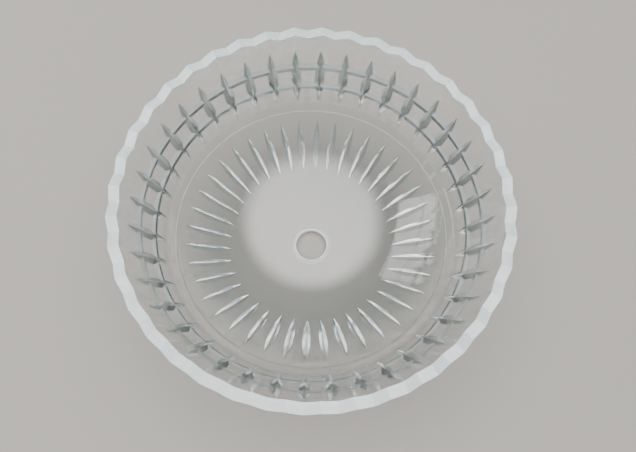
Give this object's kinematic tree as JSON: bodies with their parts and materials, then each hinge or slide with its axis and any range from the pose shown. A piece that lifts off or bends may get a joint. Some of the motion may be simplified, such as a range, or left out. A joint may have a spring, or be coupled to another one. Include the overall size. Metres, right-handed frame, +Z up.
{
  "type": "cut glass lamp bowl",
  "caption": "Cut crystal bowl with a zigzag ground rim, upright mitre cuts crossed by two ring grooves, a sunburst base and a drilled centre hole.",
  "frame": {"origin": "centre of the underside, in the plane of the ground seat that the bowl stands on", "axes": "+Z up along the bowl's axis, from the seat to the rim; +X through the crest of one rim tooth and the upright cut below it"},
  "size_m": [0.25, 0.25, 0.114],
  "materials": {
    "crystal": "clear polished crystal, with bright cut facets and a finely ground rim and seat"
  },
  "bodies": {
    "root": {"cut_glass_bowl": "crystal"}
  },
  "joints": []
}
